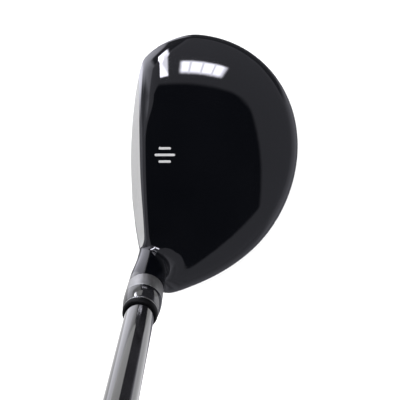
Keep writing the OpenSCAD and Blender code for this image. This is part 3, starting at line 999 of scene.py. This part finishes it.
def make_weight():
    """Sole weight: a turned screw head with a chamfer, two rings and a six-sided key socket."""
    sink, tall = 0.35, 7.0
    key_flat, key_depth, ring_depth = 4.0, 4.0, 0.18
    face = -sink
    angles = np.linspace(0, 2 * math.pi, AROUND, endpoint=False)
    key = key_flat / 2 / np.cos((angles + math.pi / 6) % (math.pi / 3) - math.pi / 6)

    def ring(radii, height):
        heights = np.full(len(angles), height)
        return np.stack([radii * np.cos(angles), radii * np.sin(angles), heights], axis=-1)

    round_parts = [(WEIGHT_R, -tall), (WEIGHT_R, face - 0.45)]
    round_parts += [(WEIGHT_R - 0.08, face - 0.15), (WEIGHT_R - 0.35, face)]
    for r in (5.3, 4.6):
        low = face - ring_depth
        round_parts += [(r, face), (r - 0.08, low), (r - 0.3, low), (r - 0.38, face)]
    rings = [ring(np.full(len(angles), r), z) for r, z in round_parts]
    rings += [ring(key * 1.12, face), ring(key, face - 0.3), ring(key, face - key_depth)]
    weight = loft("sole_weight_turned", rings, False, weight_frame(), 35)
    finish_piece(weight, SCREW_METAL, "weight_metal", "sole_weight")


make_weight()

# ---- pieces inside the club keep their CAD shape and get a material

for node, material in {
    "weight_seat": SCREW_METAL,
    "weight_pad": WEIGHT_STEEL,
    "hot_melt": GLUE,
    "hosel_tube": SCREW_METAL,
    "hosel_stop": SCREW_METAL,
    "shaft_epoxy": GLUE,
    "tip_plug": WOOD,
    "grip_tape": PAPER,
}.items():
    slots = frame["nodes"][node].data.materials
    slots.clear()
    slots.append(material)

# ---- floor, light and camera


def make_floor():
    mesh = bpy.data.meshes.new("floor")
    far, drop = 4.0, -0.0002
    corners = [(-far, -far, drop), (far, -far, drop), (far, far, drop), (-far, far, drop)]
    mesh.from_pydata(corners, [], [(0, 1, 2, 3)])
    floor = bpy.data.objects.new("floor", mesh)
    bpy.context.scene.collection.objects.link(floor)
    m = Shader("pale_floor", Roughness=0.9, Specular_IOR_Level=0.1)
    m.colour(m.noise(12, 3), (0.90, 0.90, 0.90), (0.93, 0.93, 0.93))
    mesh.materials.append(m.material)
    floor.visible_glossy = False


def softbox(name, place, towards, size, radiance, reflected=False):
    """A square light of an even brightness, which either lights the scene or shows in its reflections."""
    light = bpy.data.lights.new(name, "AREA")
    light.size = size
    light.energy = radiance * size * size * math.pi
    made = bpy.data.objects.new(name, light)
    made.location = place
    made.rotation_euler = (Vector(towards) - Vector(place)).to_track_quat("-Z", "Y").to_euler()
    made.visible_glossy = reflected
    made.visible_diffuse = not reflected
    made.visible_camera = False
    bpy.context.scene.collection.objects.link(made)


class Studio(Tree):
    """The surroundings: even white light, and the room that the gloss reflects."""

    def __init__(self):
        world = bpy.data.worlds.new("studio")
        bpy.context.scene.world = world
        world.use_nodes = True
        self.tree = world.node_tree
        self.tree.nodes.clear()
        split = self.node("ShaderNodeSeparateXYZ")
        self.link(self.node("ShaderNodeTexCoord").outputs["Generated"], split.inputs[0])
        self.x, self.y, self.z = split.outputs

    def leaning(self, value, slope, other):
        """value + slope * other, which tilts an edge of a panel or spaces its bars."""
        return self.calc("ADD", value, self.calc("MULTIPLY", other, slope))

    def step(self, value, edge, soft):
        """1 above the edge and 0 below it, or the other way round where soft is negative."""
        made = self.node("ShaderNodeMapRange", interpolation_type="SMOOTHSTEP")
        made.inputs["From Min"].default_value = edge - soft / 2
        made.inputs["From Max"].default_value = edge + soft / 2
        self.link(value, made.inputs["Value"])
        return made.outputs[0]

    def both(self, *masks):
        out = masks[0]
        for mask in masks[1:]:
            out = self.calc("MULTIPLY", out, mask)
        return out

    def over(self, level, mask, value):
        """The level, replaced by the value where the mask is 1."""
        added = self.calc("MULTIPLY", mask, self.calc("SUBTRACT", value, level))
        return self.calc("ADD", level, added)

    def finish(self, level, tint, fill):
        walls = self.node("ShaderNodeBackground")
        walls.inputs["Color"].default_value = (*tint, 1)
        self.link(level, walls.inputs["Strength"])
        white = self.node("ShaderNodeBackground")
        white.inputs["Color"].default_value = (1, 1, 1, 1)
        white.inputs["Strength"].default_value = fill
        choose = self.node("ShaderNodeMixShader")
        self.link(self.node("ShaderNodeLightPath").outputs["Is Glossy Ray"], choose.inputs[0])
        self.link(white.outputs[0], choose.inputs[1])
        self.link(walls.outputs[0], choose.inputs[2])
        self.link(choose.outputs[0], self.node("ShaderNodeOutputWorld").inputs[0])


# Brightness of what the gloss reflects, and of the white light that falls on the club and the floor.
WALLS = 0.52
CEILING = 0.03
LAMP = 26.0
DIM_LAMP = 15.0
FILL = 1.9


def make_studio():
    """What the gloss reflects: pale walls, a dark ceiling over the club, two lamps past the toe."""
    s = Studio()
    # The ceiling, on the level plane overhead.
    rise = s.calc("MAXIMUM", s.z, 0.02)
    across = s.calc("DIVIDE", s.x, rise)
    lengthwise = s.calc("DIVIDE", s.y, rise)
    ceiling = s.both(
        s.step(s.leaning(across, 0.28, lengthwise), 1.22, -0.1),
        s.step(s.leaning(across, 1.0, lengthwise), 1.8, -0.2),
        s.step(across, -3.4, 0.4),
        s.step(s.leaning(lengthwise, 0.23, across), 1.2, -0.12),
        s.step(s.leaning(lengthwise, -0.9, across), -1.93, 0.1),
    )
    # Darker and lighter parts of the room, by direction: low on the left, and the ground on each side.
    slope = s.calc("DIVIDE", s.z, s.calc("MAXIMUM", s.calc("MULTIPLY", s.x, -1.0), 0.01))
    left = s.step(s.x, -0.04, -0.08)
    right = s.step(s.x, -0.04, 0.08)
    left_low = s.both(s.step(slope, -0.35, -0.4), left)
    toe_side = s.both(
        s.step(s.leaning(s.y, 0.58, s.x), 0.0, 0.12),
        s.step(s.leaning(s.y, 1.25, s.x), 0.0, -0.2),
        s.step(s.z, 0.04, -0.1),
        left,
    )
    right_low = s.both(s.step(s.z, 0.0, -0.2), right)
    heel_low = s.both(right_low, s.step(s.y, -0.5, -0.2))
    right_ground = s.both(s.step(s.z, -0.68, -0.16), right)
    toe_ground = s.both(s.step(s.y, 0.4, 0.1), s.step(s.z, -0.48, -0.08), s.step(s.x, -0.15, -0.15))
    toe_low = s.both(s.step(s.z, -0.02, -0.1), s.step(s.y, 0.55, 0.15))
    # The two lamps, on the upright plane past the toe: a wide one with bars and a tall, leaning one.
    ahead = s.calc("MAXIMUM", s.y, 0.02)
    side = s.calc("DIVIDE", s.x, ahead)
    tall = s.calc("DIVIDE", s.z, ahead)
    forward = s.step(s.y, 0.1, 0.05)
    level_top = s.leaning(tall, -0.17, side)
    wide_lamp = s.both(
        forward,
        s.step(side, -0.08, 0.05),
        s.step(side, 0.38, -0.09),
        s.step(level_top, 0.50, 0.04),
        s.step(level_top, 0.655, -0.07),
    )
    bars = s.both(wide_lamp, s.step(s.calc("SINE", s.leaning(1.0, 50.0, side), 0), 0.85, 0.2))
    leant = s.leaning(side, -0.376, tall)
    near_edge = s.step(leant, -0.354, -0.03)
    far_edge = s.step(s.leaning(side, -0.24, tall), -0.358, -0.03)
    tall_lamp = s.both(
        forward,
        s.calc("MAXIMUM", near_edge, far_edge),
        s.step(leant, -0.56, 0.03),
        s.step(side, -0.57, 0.03),
        s.step(side, -0.205, -0.02),
        s.step(s.leaning(tall, -2.9, side), 0.944, 0.2),
        s.step(tall, 0.66, -0.03),
        s.step(tall, -0.32, 0.1),
    )
    bright_half = s.both(tall_lamp, s.step(leant, -0.44, -0.03))
    level = s.over(WALLS, ceiling, CEILING)
    level = s.over(level, left_low, 0.2)
    level = s.over(level, right_low, 0.65)
    level = s.over(level, heel_low, 0.4)
    level = s.over(level, right_ground, 0.3)
    level = s.over(level, toe_low, 0.12)
    level = s.over(level, toe_side, 1.4)
    level = s.over(level, toe_ground, 1.3)
    level = s.over(level, wide_lamp, LAMP)
    level = s.over(level, bars, DIM_LAMP)
    level = s.over(level, tall_lamp, DIM_LAMP)
    level = s.over(level, bright_half, LAMP)
    s.finish(level, (0.96, 0.96, 1.08), FILL)


def make_camera():
    """Over the crown, looking down on it."""
    camera = bpy.data.cameras.new("camera")
    camera.sensor_width = 36
    camera.lens = 64.98
    camera.clip_start = 0.01
    made = bpy.data.objects.new("camera", camera)
    right = Vector((0.9986, 0.0055, -0.0529))
    up = Vector((-0.0007, 0.9958, 0.0912))
    back = right.cross(up)
    place = Matrix.Translation((0.0261, -0.0405, 0.2914))
    made.matrix_world = place @ Matrix([right, up, back]).transposed().to_4x4()
    bpy.context.scene.collection.objects.link(made)
    bpy.context.scene.camera = made


# The cards lie just over the crown's height, so only the ferrule, the neck's top and the shaft reflect them.
CARD_Z = 0.038

make_floor()
make_studio()
softbox("key", (-0.6, 0.9, 1.6), (0.0, 0.0, 0.2), 1.2, 2.0)
for name, x, y, size, radiance in (
    ("card_left", -0.132, -0.115, 0.24, 0.7),
    ("card_toe", -0.124, 0.125, 0.24, 1.4),
    ("card_right", 0.10, -0.124, 0.18, 0.9),
):
    softbox(name, (x, y, CARD_Z), (x, y, 1.0), size, radiance, True)
make_camera()
bpy.context.scene.view_settings.view_transform = "Standard"
